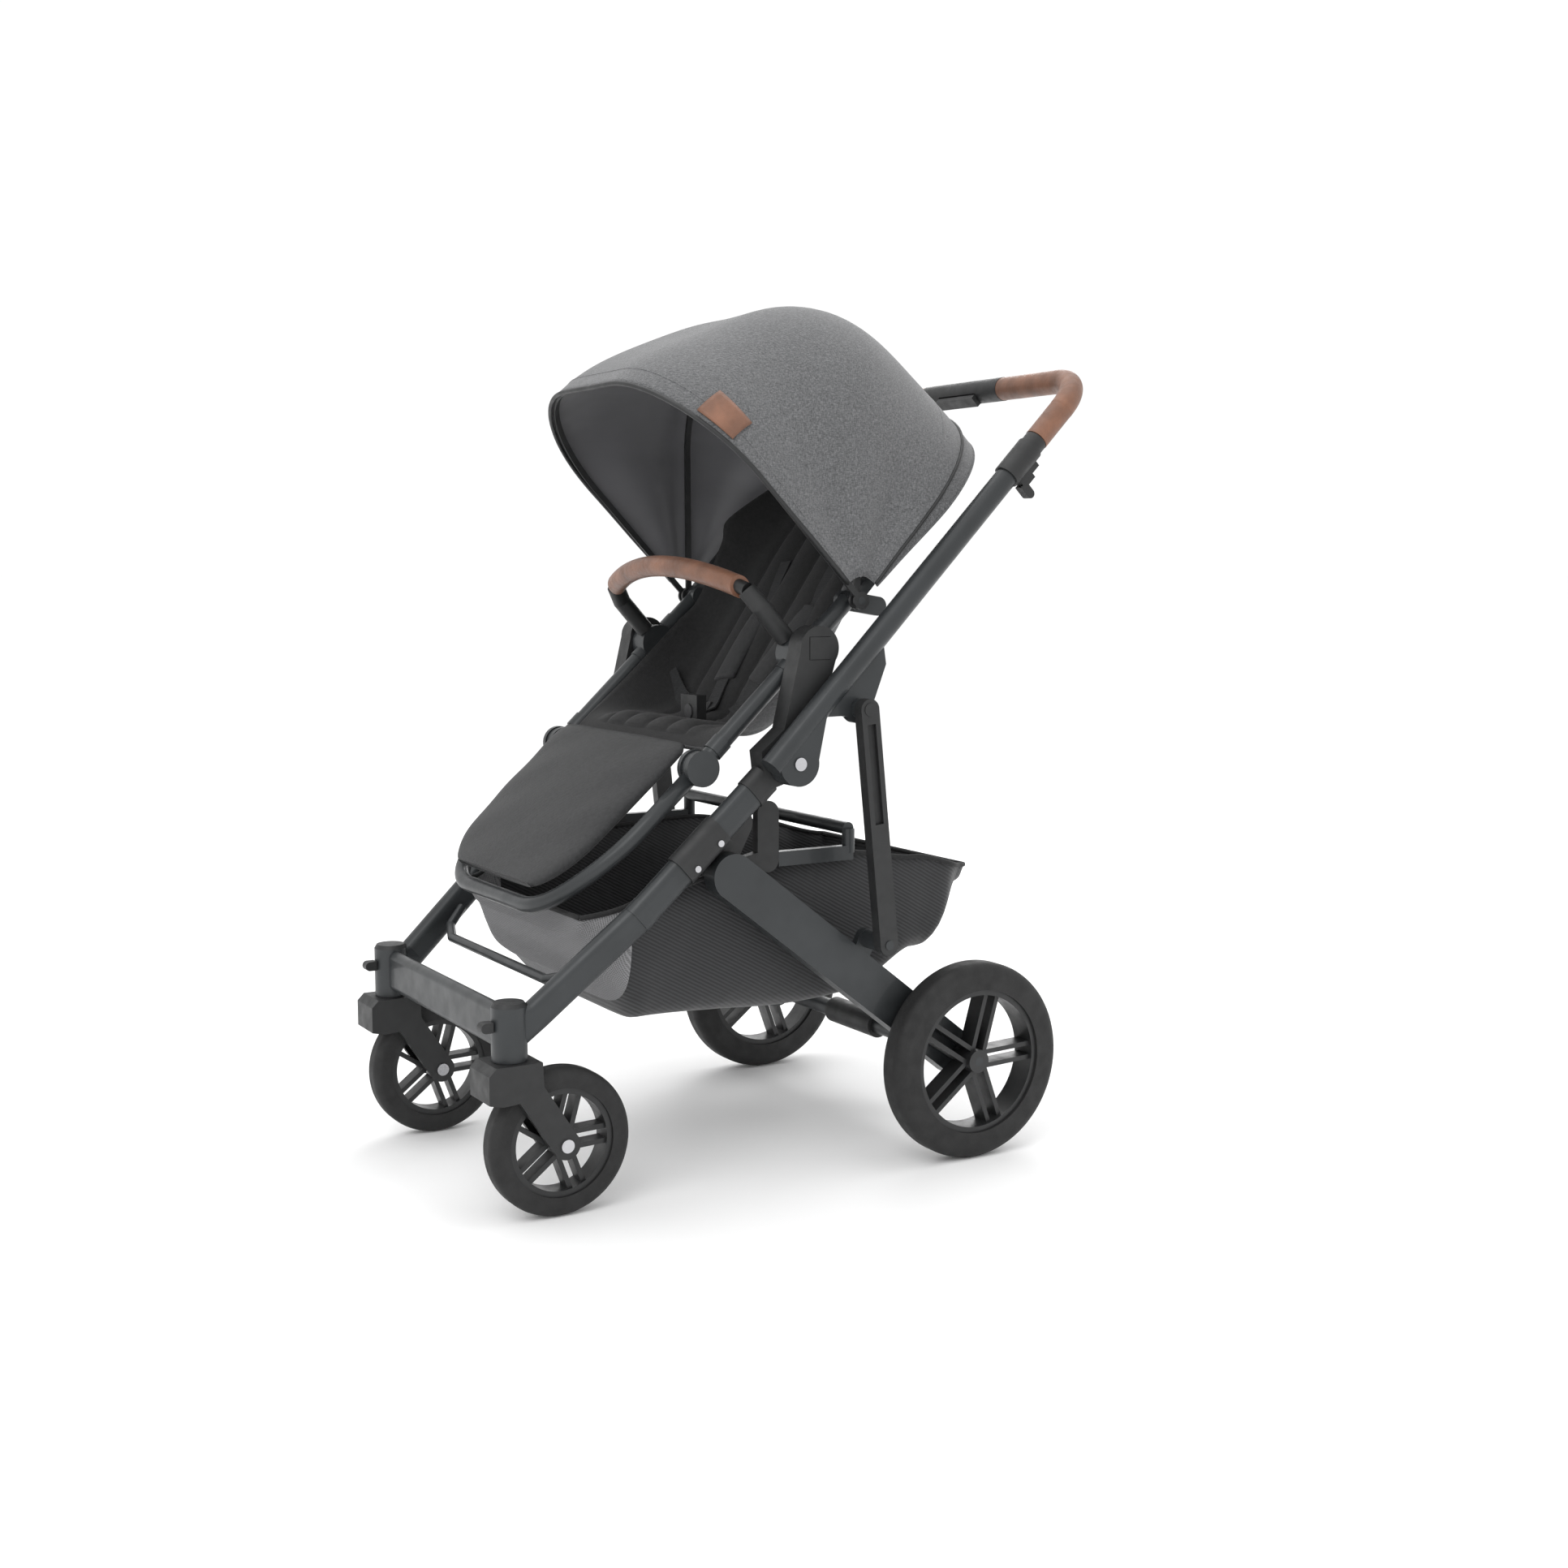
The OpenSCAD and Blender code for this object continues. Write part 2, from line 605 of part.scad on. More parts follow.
module seat_cushion() color(lining)
    translate([-cushion_w / 2, knee_y + 34, knee_z - 8]) cube([cushion_w, back_y - knee_y - 62, pad_thick]);

module backrest() color(heather) along(back_y, back_z, back_slope)
    translate([-cushion_w / 2, -pad_thick, 0]) cube([cushion_w, pad_thick, back_len]);

module harness_straps() color(lining) for (s = [1, -1]) side(s) {
    along(back_y, back_z, back_slope) translate([38, -pad_thick - 3.3, 60]) cube([34, 3, 250]);
    along(back_y, back_z, back_slope) translate([38, -pad_thick - 3.3, 36]) cube([100, 3, 22]);
}

buckle_y = back_y - 82;
buckle_z = knee_z - 8 + pad_thick + 26;
module harness_buckle() color(moulded) difference() {
    union() {
        at(buckle_y, buckle_z) translate([-22, -5, -22]) cube([44, 14, 44]);
        at(buckle_y, buckle_z) translate([-14, -1, -25.7]) cube([28, 4, 6]);
    }
    at(buckle_y - 6, buckle_z) rotate([-90, 0, 0]) cylinder(h = 8, r = 10 + 0.3);
}

module buckle_button() color([0.5, 0.12, 0.1]) at(buckle_y - 6.5, buckle_z) rotate([-90, 0, 0]) cylinder(h = 4.5, r = 10);

// Squeeze lever behind the top of the backrest that frees the recline
module recline_lever() color(moulded) along(back_y, back_z, back_slope)
    translate([-40, 0.3, back_len - 60]) cube([80, 12, 26]);

/* ---- Footrest ---- */

foot_slope = 222;
module footrest_tube() color(steel) {
    reach = 246;
    x = seat_tube_x;
    c = cos(foot_slope);
    d = sin(foot_slope);
    for (s = [1, -1]) side(s) difference() {
        plate(x - 5, x + 5) slot2d([knee_y, knee_z], [knee_y + 34 * c, knee_z + 34 * d], eye_r);
        xcyl(x - 6, x + 6, knee_y, knee_z, knee_pin_r + fit);
    }
    tube_path([[x, knee_y + 26 * c, knee_z + 26 * d], [x, knee_y + 130 * c, knee_z + 130 * d],
        [x - 16, knee_y + 178 * c, knee_z + 178 * d], [x - 52, knee_y + 226 * c, knee_z + 226 * d],
        [x - 80, knee_y + reach * c, knee_z + reach * d], [-x + 80, knee_y + reach * c, knee_z + reach * d],
        [-x + 52, knee_y + 226 * c, knee_z + 226 * d], [-x + 16, knee_y + 178 * c, knee_z + 178 * d],
        [-x, knee_y + 130 * c, knee_z + 130 * d], [-x, knee_y + 26 * c, knee_z + 26 * d]], 10);
}

module footrest_pad() color(lining) along(knee_y, knee_z, foot_slope)
    translate([-154, 10.3, 4]) cube([308, 22, 206]);

/* ---- Bumper bar ---- */

bumper_half_w = 181;
bumper_rise = 38;
bumper_arc = (bumper_half_w * bumper_half_w + bumper_rise * bumper_rise) / (2 * bumper_rise);
bumper_sweep = 2 * asin(bumper_half_w / bumper_arc);
bumper_end_y = hub_y - 66;
bumper_end_z = hub_z + 78;
module bumper_arc_tube(r) at(bumper_end_y, bumper_end_z) rotate([130.8, 0, 0])
    translate([0, bumper_rise - bumper_arc, 0]) rotate(90 - bumper_sweep / 2)
    rotate_extrude(angle = bumper_sweep) translate([bumper_arc, 0]) circle(r = r);

bumper_arm_slope = 132;
module bumper_arms(r) for (s = [1, -1]) side(s)
    tube_path([[bumper_half_w - 2, bumper_end_y, bumper_end_z],
        [seat_tube_x - 7, hub_y + 78 * cos(bumper_arm_slope), hub_z + 78 * sin(bumper_arm_slope)],
        [seat_tube_x - 7, hub_y + (hub_r + 0.3) * cos(bumper_arm_slope),
            hub_z + (hub_r + 0.3) * sin(bumper_arm_slope)]], r);

module bumper_tube() color(moulded) {
    bumper_arc_tube(9);
    bumper_arms(12);
}

module bumper_grip() color(leather) difference() {
    bumper_arc_tube(13.5);
    bumper_arc_tube(9);
    bumper_arms(12);
    for (s = [1, -1]) side(s) translate([bumper_half_w - 12, bumper_end_y - 40, bumper_end_z - 50]) cube([40, 80, 70]);
}

/* ---- Canopy ---- */

// Part of the canopy's cloth, swept about the pivot between two directions
module canopy_panel(from, to, inset) difference() {
    half_w = canopy_half_w - inset;
    reach = canopy_r - inset;
    corner = canopy_corner - inset;
    at(crown_y, crown_z) rotate([0, 90, 0]) rotate([0, 0, 90 + from]) rotate_extrude(angle = to - from)
        difference() {
            rotate(-90) arch(half_w, reach, corner);
            rotate(-90) translate([0, -1]) arch(half_w - cloth, reach - cloth + 1, corner - cloth);
            translate([-1, -half_w - 1]) square([1 + canopy_eye_r + 2, 2 * half_w + 2]);
        }
}

module canopy_front_panel() color(heather)
    canopy_panel(mid_bow_angle - 1, front_bow_angle, front_panel_in);

module canopy_rear_panel() color(heather)
    canopy_panel(rear_bow_angle + 2, mid_bow_angle + 1, rear_panel_in);

// A bow with an eye at each end that turns on the seat's pins
module canopy_bow(angle, inset, thick) color(moulded) difference() {
    union() {
        bow(angle, canopy_half_w - inset, canopy_r - inset, canopy_corner - inset, thick, bow_thick);
        for (s = [1, -1]) side(s)
            xcyl(canopy_half_w - inset - thick + 0.1, canopy_half_w - inset - 0.1, crown_y, crown_z, canopy_eye_r);
    }
    xcyl(-canopy_half_w - 1, canopy_half_w + 1, crown_y, crown_z, canopy_pin_r + fit);
}

module canopy_front_bow() canopy_bow(front_bow_angle, 0, front_bow_thick);

module canopy_mid_bow() canopy_bow(mid_bow_angle, mid_bow_in, mid_bow_thick);

front_crossbar();
caster_caps();
front_leg(1);  // front_leg_left
front_leg(-1);  // front_leg_right
leg_bracket(1);  // leg_bracket_left
leg_bracket(-1);  // leg_bracket_right
adapter_post(1);  // adapter_post_left
adapter_post(-1);  // adapter_post_right
basket_front_rail();
basket_support_rail();
basket();
frame_rivets();
handle_tube(1);  // handle_tube_left
handle_tube(-1);  // handle_tube_right
handle_collar(1);  // handle_collar_left
handle_collar(-1);  // handle_collar_right
handlebar();
grip(1);  // grip_left
grip(-1);  // grip_right
grip_centre_cover();
telescope_button();
fold_trigger(1);  // fold_trigger_left
fold_trigger(-1);  // fold_trigger_right
rear_leg(1);  // rear_leg_left
rear_leg(-1);  // rear_leg_right
rear_axle();
brake_pedal();
fold_links();
caster_fork(1);  // caster_fork_left
caster_fork(-1);  // caster_fork_right
front_axle(1);  // front_axle_left
front_axle(-1);  // front_axle_right
swivel_lock(1);  // swivel_lock_left
swivel_lock(-1);  // swivel_lock_right
front_tyre(1);  // front_tyre_left
front_tyre(-1);  // front_tyre_right
front_rim(1);  // front_rim_left
front_rim(-1);  // front_rim_right
rear_tyre(1);  // rear_tyre_left
rear_tyre(-1);  // rear_tyre_right
rear_rim(1);  // rear_rim_left
rear_rim(-1);  // rear_rim_right
seat_frame();
seat_cushion();
backrest();
harness_straps();
harness_buckle();
buckle_button();
recline_lever();
seat_release(1);  // seat_release_left
seat_release(-1);  // seat_release_right
footrest_tube();
footrest_pad();
bumper_tube();
bumper_grip();
canopy_mid_bow();
canopy_rear_panel();
canopy_front_bow();
canopy_front_panel();
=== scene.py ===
import json
import math

import bpy
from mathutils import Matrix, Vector


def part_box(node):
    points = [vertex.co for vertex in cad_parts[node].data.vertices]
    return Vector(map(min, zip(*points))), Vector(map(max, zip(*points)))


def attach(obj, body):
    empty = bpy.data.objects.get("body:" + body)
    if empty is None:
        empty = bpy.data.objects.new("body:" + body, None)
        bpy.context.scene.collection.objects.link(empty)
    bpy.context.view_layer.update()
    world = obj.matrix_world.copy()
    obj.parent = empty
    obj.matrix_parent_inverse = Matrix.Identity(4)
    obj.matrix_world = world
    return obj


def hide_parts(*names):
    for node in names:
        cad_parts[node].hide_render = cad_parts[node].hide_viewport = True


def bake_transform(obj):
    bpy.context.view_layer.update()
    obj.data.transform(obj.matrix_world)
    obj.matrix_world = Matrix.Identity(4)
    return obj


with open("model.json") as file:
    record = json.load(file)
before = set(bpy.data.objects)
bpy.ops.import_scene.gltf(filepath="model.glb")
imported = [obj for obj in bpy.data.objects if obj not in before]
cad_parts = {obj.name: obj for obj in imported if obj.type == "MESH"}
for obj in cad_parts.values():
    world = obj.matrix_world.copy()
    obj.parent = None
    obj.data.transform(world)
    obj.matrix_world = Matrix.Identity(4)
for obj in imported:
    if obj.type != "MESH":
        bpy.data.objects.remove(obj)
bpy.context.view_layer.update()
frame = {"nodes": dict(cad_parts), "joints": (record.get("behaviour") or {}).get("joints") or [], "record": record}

nodes = frame["nodes"]
joints = {j["name"]: j for j in frame["joints"]}

# ---- Camera, and a plain view transform so the pale floor stays near white ----
cam = bpy.data.objects.new("camera", bpy.data.cameras.new("camera"))
bpy.context.scene.collection.objects.link(cam)
bpy.context.scene.camera = cam
bpy.context.scene.view_settings.view_transform = "Standard"
cam.data.sensor_width = 36
cam.data.lens = 43.79
cam.location = (2.19506, -1.22103, 0.75739)
cam.rotation_euler = (math.radians(83.463), 0, math.radians(58.843))
cam.data.clip_end = 400

# ---- Places taken from the CAD ----
crown = Vector(joints["canopy_fold"]["pos_m"])
hub = Vector(joints["seat_recline"]["pos_m"])
knee = Vector(joints["footrest_tilt"]["pos_m"])
canopy_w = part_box("canopy_front_bow")[1].x
# Directions of the canopy's rear hoop and front bow in degrees, from the rear horizontal
REAR = 47.0
FRONT = 133.5


# ---- Materials ----
class Shader:
    """One procedural material, built up by layers."""

    def __init__(self, name, color, rough, metal=0.0, sheen=0.0, coat=0.0):
        self.mat = bpy.data.materials.new(name)
        self.mat.use_nodes = True
        self.tree = self.mat.node_tree
        self.bsdf = self.tree.nodes["Principled BSDF"]
        self.bsdf.inputs["Base Color"].default_value = (*color, 1)
        self.bsdf.inputs["Roughness"].default_value = rough
        self.bsdf.inputs["Metallic"].default_value = metal
        self.bsdf.inputs["Sheen Weight"].default_value = sheen
        self.bsdf.inputs["Sheen Roughness"].default_value = 0.5
        self.bsdf.inputs["Coat Weight"].default_value = coat
        self.coord = self.tree.nodes.new("ShaderNodeTexCoord")
        self.normal = None

    def node(self, kind, **inputs):
        n = self.tree.nodes.new(kind)
        for k, v in inputs.items():
            n.inputs[k].default_value = v
        return n

    def link(self, a, b):
        self.tree.links.new(a, b)

    def place(self, scale=(1, 1, 1), turn=(0, 0, 0)):
        m = self.node("ShaderNodeMapping", Scale=scale, Rotation=turn)
        self.link(self.coord.outputs["Object"], m.inputs["Vector"])
        return m.outputs["Vector"]

    def noise(self, scale, detail=2.0, stretch=(1, 1, 1)):
        n = self.node("ShaderNodeTexNoise", Scale=scale, Detail=detail)
        self.link(self.place(stretch), n.inputs["Vector"])
        return n.outputs["Fac"]

    def cells(self, scale):
        n = self.node("ShaderNodeTexVoronoi", Scale=scale)
        self.link(self.place(), n.inputs["Vector"])
        return n.outputs["Distance"]

    def wave(self, period, turn=(0, 0, 0), axis="X", bend=0.0):
        n = self.node("ShaderNodeTexWave", Scale=0.314 / period, Distortion=bend)
        n.bands_direction = axis
        self.link(self.place(turn=turn), n.inputs["Vector"])
        return n.outputs["Fac"]

    def mix(self, a, b, kind="MULTIPLY"):
        n = self.tree.nodes.new("ShaderNodeMath")
        n.operation = kind
        self.link(a, n.inputs[0])
        self.link(b, n.inputs[1])
        return n.outputs[0]

    def ramp(self, fac, stops, to="Base Color"):
        r = self.tree.nodes.new("ShaderNodeValToRGB")
        e = r.color_ramp.elements
        while len(e) < len(stops):
            e.new(0.5)
        for i, (p, c) in enumerate(stops):
            e[i].position = p
            e[i].color = (*c, 1) if len(c) == 3 else (c[0],) * 3 + (1,)
        self.link(fac, r.inputs["Fac"])
        self.link(r.outputs["Color"], self.bsdf.inputs[to])
        return self

    def bump(self, height, strength, depth):
        b = self.node("ShaderNodeBump", Strength=strength, Distance=depth)
        self.link(height, b.inputs["Height"])
        if self.normal:
            self.link(self.normal, b.inputs["Normal"])
        self.normal = b.outputs["Normal"]
        self.link(self.normal, self.bsdf.inputs["Normal"])
        return self


def satin_metal(name, color, rough=0.42):
    s = Shader(name, color, rough, metal=0.25, coat=0.15)
    lo, hi = [c * 0.8 for c in color], [c * 1.2 for c in color]
    s.ramp(s.noise(9, 3), [(0.3, lo), (0.7, hi)])
    s.ramp(s.noise(45, 4), [(0.3, (rough - 0.06,)), (0.7, (rough + 0.08,))], "Roughness")
    return s.bump(s.noise(2400, 2), 0.25, 0.0002).mat


def moulded(name, color, rough=0.5, grain=1700, depth=0.0003):
    s = Shader(name, color, rough)
    s.ramp(s.noise(14, 3), [(0.3, [c * 0.82 for c in color]), (0.7, [c * 1.18 for c in color])])
    s.ramp(s.noise(60, 3), [(0.3, (rough - 0.07,)), (0.7, (rough + 0.1,))], "Roughness")
    return s.bump(s.cells(grain), 0.35, depth).mat


def heather(name, dark, mid, light):
    s = Shader(name, mid, 0.9, sheen=0.25)
    flecks = s.mix(s.noise(820, 2, (1, 1, 0.28)), s.noise(860, 2, (0.3, 0.3, 1)), "ADD")
    half = s.node("ShaderNodeMath")
    half.operation = "MULTIPLY"
    half.inputs[1].default_value = 0.5
    s.link(flecks, half.inputs[0])
    s.ramp(half.outputs[0], [(0.34, dark), (0.5, mid), (0.66, light)])
    s.bump(s.noise(24, 3), 0.25, 0.004)
    weave = s.mix(s.wave(0.0014, axis="Z", bend=1.0), s.wave(0.0014, (0.7, 0, 0.8), "X", 1.0))
    return s.bump(weave, 0.55, 0.0005).mat


def plain_weave(name, color, sheen=0.2, period=0.0011, crease=0.25):
    s = Shader(name, color, 0.85, sheen=sheen)
    s.ramp(s.noise(240, 3), [(0.3, [c * 0.72 for c in color]), (0.7, [c * 1.3 for c in color])])
    s.bump(s.noise(16, 3), crease, 0.006)
    weave = s.mix(s.wave(period, axis="Z"), s.wave(period, axis="X"))
    return s.bump(weave, 0.5, 0.0004).mat


def satin(name, color):
    s = Shader(name, color, 0.5, sheen=0.35)
    s.ramp(s.noise(7, 2), [(0.3, [c * 0.9 for c in color]), (0.7, [c * 1.12 for c in color])])
    s.bump(s.noise(9, 3, (1, 0.35, 1)), 0.7, 0.016)
    return s.bump(s.wave(0.0009, axis="Z"), 0.2, 0.0002).mat


def ribbed(name, color):
    s = Shader(name, color, 0.8, sheen=0.2)
    lines = s.wave(0.0042, (0.5, 0, 0), "Z", 0.6)
    s.ramp(lines, [(0.25, [c * 0.55 for c in color]), (0.75, [c * 1.5 for c in color])])
    s.bump(s.noise(11, 3), 0.5, 0.012)
    return s.bump(lines, 0.6, 0.0006).mat


def netting(name, dark, light):
    s = Shader(name, light, 0.8)
    grid = s.mix(s.wave(0.0017, axis="X", bend=0.8), s.wave(0.0017, (0.3, 0, 0), "Z", 0.8), "MAXIMUM")
    s.ramp(grid, [(0.45, dark), (0.8, light)])
    s.bump(s.noise(14, 2), 0.3, 0.006)
    return s.bump(grid, 0.7, 0.0008).mat


def hide(name, color):
    s = Shader(name, color, 0.52, sheen=0.05, coat=0.08)
    worn, bright = [c * 0.72 for c in color], [c * 1.35 for c in color]
    s.ramp(s.noise(38, 4), [(0.28, worn), (0.5, color), (0.75, bright)])
    s.ramp(s.noise(120, 3), [(0.3, (0.42,)), (0.7, (0.62,))], "Roughness")
    s.bump(s.cells(900), 0.5, 0.0004)
    return s.bump(s.noise(300, 3), 0.3, 0.0005).mat


M = {
    "frame": satin_metal("charcoal_frame", (0.026, 0.029, 0.031)),
    "moulded": moulded("moulded_black", (0.014, 0.0145, 0.015)),
    "tyre": moulded("tyre_rubber", (0.011, 0.011, 0.0112), 0.68, 900, 0.0005),
    "rim": moulded("wheel_rim", (0.014, 0.0145, 0.015), 0.4, 2200, 0.0001),
    "leather": hide("brown_leather", (0.185, 0.083, 0.047)),
    "heather": heather(
        "heather_fabric", (0.058, 0.059, 0.061), (0.108, 0.11, 0.113), (0.18, 0.18, 0.186)
    ),
    "lining": satin("satin_lining", (0.115, 0.115, 0.122)),
    "dark_fabric": plain_weave("seat_fabric", (0.0105, 0.0105, 0.011), 0.08),
    "pad_fabric": plain_weave("footrest_fabric", (0.018, 0.0185, 0.0195), 0.12),
    "basket_fabric": ribbed("basket_fabric", (0.021, 0.0215, 0.023)),
    "mesh": netting("basket_mesh", (0.12, 0.12, 0.124), (0.27, 0.27, 0.277)),
    "webbing": plain_weave("webbing", (0.014, 0.0145, 0.0155), 0.1, 0.0024, 0.05),
    "rivet": satin_metal("bright_rivet", (0.55, 0.55, 0.57), 0.25),
    "red": moulded("buckle_red", (0.03, 0.03, 0.032), 0.35),
    "thread": moulded("pale_thread", (0.62, 0.5, 0.38), 0.7, 3000),
}
M["rivet"].node_tree.nodes["Principled BSDF"].inputs["Metallic"].default_value = 1.0

for entry in frame["record"]["subparts"]:
    o = nodes[entry["node"]]
    o.data.materials.clear()
    o.data.materials.append(M[entry["material_slot"]])


# ---- Mesh helpers ----
def piece(name, verts, faces, body, slot, mats, thick=0.0, face_mats=None, smooth=True, sub=0):
    me = bpy.data.meshes.new(name)
    me.from_pydata([tuple(v) for v in verts], [], faces)
    me.validate()
    o = bpy.data.objects.new(name, me)
    bpy.context.scene.collection.objects.link(o)
    for m in mats:
        me.materials.append(M[m])
    if face_mats:
        for p, k in zip(me.polygons, face_mats):
            p.material_index = k
    for p in me.polygons:
        p.use_smooth = smooth
    if thick:
        s = o.modifiers.new("thick", "SOLIDIFY")
        s.thickness = thick
        s.offset = 0
        if len(mats) > 1 and not face_mats:
            s.material_offset = 1
    if sub:
        s = o.modifiers.new("sub", "SUBSURF")
        s.levels = s.render_levels = sub
    for m in list(o.modifiers):
        bpy.context.view_layer.objects.active = o
        bpy.ops.object.modifier_apply(modifier=m.name)
    if body:
        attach(o, body)
    return o


def grid(point, nu, nv, wrap=False):
    """Quads over point(u, v) for u and v from 0 to 1; wrap closes the v direction."""
    verts = [point(i / nu, j / nv) for i in range(nu + 1) for j in range(nv if wrap else nv + 1)]
    w = nv if wrap else nv + 1
    faces = []
    for i in range(nu):
        for j in range(nv):
            k = (j + 1) % w
            faces.append((i * w + j, (i + 1) * w + j, (i + 1) * w + k, i * w + k))
    return verts, faces


def tube(points, radius, sides=10):
    """A closed-ended tube through points."""
    verts, faces, last = [], [], None
    n = len(points)
    up = Vector((0.31, 0.17, 0.94))
    for i, p in enumerate(points):
        t = (Vector(points[min(i + 1, n - 1)]) - Vector(points[max(i - 1, 0)])).normalized()
        a = (up - t * up.dot(t)).normalized() if last is None else (last - t * last.dot(t)).normalized()
        last = a
        b = t.cross(a)
        for k in range(sides):
            ang = 2 * math.pi * k / sides
            verts.append(Vector(p) + (a * math.cos(ang) + b * math.sin(ang)) * radius)
    for i in range(n - 1):
        for k in range(sides):
            m = (k + 1) % sides
            faces.append((i * sides + k, i * sides + m, (i + 1) * sides + m, (i + 1) * sides + k))
    faces.append(tuple(range(sides - 1, -1, -1)))
    faces.append(tuple((n - 1) * sides + k for k in range(sides)))
    return verts, faces


def join(*parts):
    verts, faces = [], []
    for v, f in parts:
        k = len(verts)
        verts += v
        faces += [tuple(i + k for i in q) for q in f]
    return verts, faces


def ease(t):
    t = min(max(t, 0), 1)
    return t * t * (3 - 2 * t)


# ---- Canopy: one curved sheet, heather outside and satin inside ----
def arch_point(half_w, reach, corner, u):
    """Point (x, r) along an arch from one pivot to the other."""
    straight, top, arc = reach - corner, half_w - corner, corner * math.pi / 2
    total = 2 * (straight + top + arc)
    s, sign = u * total, 1
    if s > total / 2:
        s, sign = total - s, -1
    if s < straight:
        x, r = half_w, s
    elif s < straight + arc:
        a = (s - straight) / corner
        x, r = top + corner * math.cos(a), straight + corner * math.sin(a)
    else:
        x, r = top - (s - straight - arc), reach
    return sign * x, r


def canopy_point(angle, u, out=0.0):
    t = (angle - REAR) / (FRONT - REAR)
    drop = 0.046 * (1 - ease(t / 0.45))
    x, r = arch_point(canopy_w + 0.0022 + out, CANOPY_R + 0.0022 - drop + out, 0.17, u)
    edge = ease(r / 0.12)
    between = math.sin(math.pi * (t * 2 % 1.0)) ** 2 if 0 < t < 1 else 0
    sag = 0.011 * between * edge
    ripple = 0.0016 * math.sin(23 * u + 9 * t) * math.sin(31 * u * (1 - u) + 5 * t) * edge
    k = 1 - (sag + ripple) / max(math.hypot(x, r), 0.05)
    a = math.radians(angle)
    return Vector((x * k, crown.y + math.cos(a) * r * k, crown.z + math.sin(a) * r * k))


def reach_from_crown(vertex):
    return math.hypot(vertex.co.y - crown.y, vertex.co.z - crown.z)


# Reach of the front bow, the share of the arch left open at each pivot, and the cloth's overhang in degrees
CANOPY_R = max(reach_from_crown(v) for v in nodes["canopy_front_bow"].data.vertices)
U0 = 0.028
SKIRT = 5
LIP = 1.2


def cover_point(a, b):
    return canopy_point(REAR - SKIRT + (FRONT + LIP - REAR + SKIRT) * a, U0 + (1 - 2 * U0) * b)


v, f = grid(cover_point, 64, 96)
canopy = piece("canopy_cover", v, f, None, "heather", ["lining", "heather"], 0.0016)
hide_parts("canopy_front_panel", "canopy_rear_panel")
start = canopy_point(REAR + 2, 0.5)
start.x = 0
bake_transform(canopy)


def edge_tube(name, angle, radius, body, slot, out=0.0, start=U0):
    """Piping or a seam along the cloth at one angle, drawn between the shares start and 1 - start."""
    pts = [canopy_point(angle, start + (1 - 2 * start) * i / 90, out) for i in range(91)]
    v, f = tube(pts, radius)
    return piece(name, v, f, body, slot, [slot])


edge_tube("canopy_front_piping", FRONT + LIP, 0.0028, "canopy_front", "moulded")
edge_tube("canopy_front_hem", FRONT - 3.2, 0.0011, "canopy_front", "heather", 0.0004)
edge_tube("canopy_rear_piping", REAR + 1, 0.0022, "seat", "moulded", 0.001)
edge_tube("canopy_skirt_edge", REAR - SKIRT, 0.0016, "seat", "heather")
edge_tube("canopy_rear_seam", REAR + 9, 0.001, "seat", "heather", 0.0002, 0.14)


def tag_point(a, b):
    return canopy_point(FRONT - 7.6 + 7.4 * a, 0.245 + 0.052 * b, 0.0022)


piece("canopy_tag", *grid(tag_point, 8, 12), "canopy_front", "leather", ["leather"], 0.0018)


# ---- Seat liner: a padded sling lofted from the knee to the top of the backrest ----
back_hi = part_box("backrest")[1]
seat_lo, seat_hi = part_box("seat_cushion")
edge_x = seat_hi.x - 0.001
seat_dir = Vector((0, crown.y - hub.y, crown.z - hub.z)).normalized()
back_top = Vector((0, back_hi.y - 0.008, back_hi.z - 0.014))
bight = Vector((0, seat_hi.y + 0.004, seat_hi.z + 0.014))


def on_rail(t):
    return Vector((0, hub.y, hub.z)) + seat_dir * t


back_vec = (back_top - bight).normalized()
back_len = (back_top - bight).length


def by_knee(y, z):
    return Vector((0, knee.y + y, knee.z + z))


def up_back(share):
    return bight + back_vec * back_len * share


# The liner's middle line and its side line, from the knee to the top of the backrest
MIDDLE = [
    by_knee(0.021, 0.019),
    by_knee(0.040, 0.035),
    Vector((0, seat_lo.y + 0.04, seat_hi.z + 0.006)),
    Vector((0, seat_hi.y - 0.03, seat_hi.z)),
    bight,
    up_back(0.12),
    up_back(0.28),
    up_back(0.5),
    up_back(0.75),
    back_top,
]
SIDES = [
    by_knee(0.021, 0.019),
    on_rail(-0.145),
    on_rail(-0.105),
    on_rail(-0.045),
    on_rail(0.005),
    on_rail(0.045),
    on_rail(0.090),
    crown + Vector((0, 0.035, 0.075)),
    up_back(0.75) + Vector((0, -0.058, 0.036)),
    back_top + Vector((0, -0.026, 0.016)),
]


def spline(values, t):
    """A smooth curve through values, with t from 0 to 1."""
    n = len(values) - 1
    i = min(int(t * n), n - 1)
    w = t * n - i
    p = [values[max(0, min(n, i + k))] for k in (-1, 0, 1, 2)]
    square = p[0] * 2 - p[1] * 5 + p[2] * 4 - p[3]
    cube = p[1] * 3 - p[0] - p[2] * 3 + p[3]
    return (p[1] * 2 + (p[2] - p[0]) * w + square * w * w + cube * w**3) * 0.5


